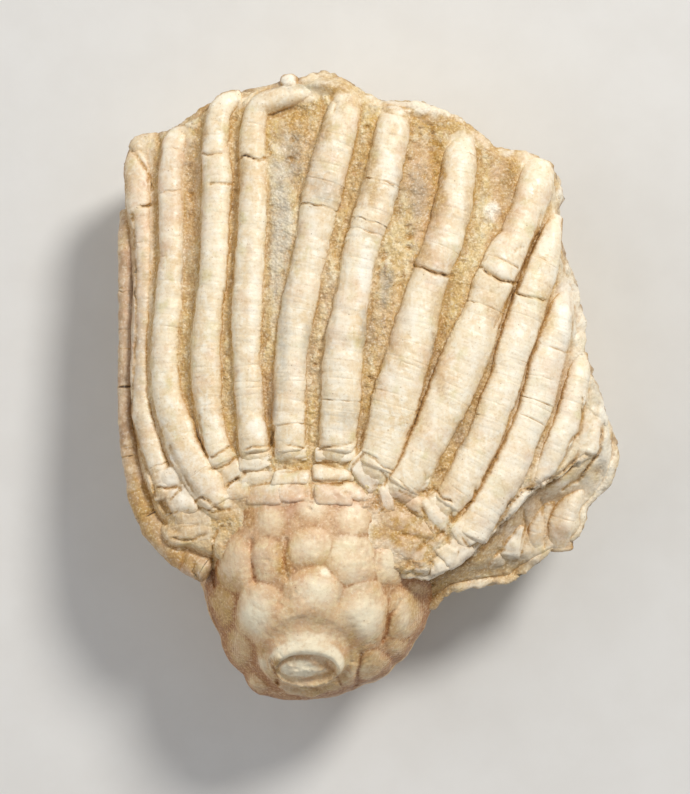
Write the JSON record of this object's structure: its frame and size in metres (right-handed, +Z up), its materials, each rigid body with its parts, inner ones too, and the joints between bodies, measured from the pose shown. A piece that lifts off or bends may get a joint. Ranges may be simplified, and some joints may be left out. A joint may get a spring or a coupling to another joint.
{
  "type": "crinoid fossil",
  "caption": "Fossil crinoid crown in one piece of stone: plated cup with a round stem scar, and arms fanned out over rough matrix. Lies on its flat back.",
  "frame": {"origin": "middle of the stone's outline, on the flat that it lies on", "axes": "+Y from the stem scar to the arm tips, +X to the right of someone looking down on the crown, +Z up out of the crown's face"},
  "size_m": [0.0447, 0.0567, 0.0218],
  "materials": {
    "fossil_stone": "matt to satin weathered limestone, cream and tan with ochre matrix"
  },
  "bodies": {
    "root": {"crinoid_fossil": "fossil_stone"}
  },
  "joints": []
}
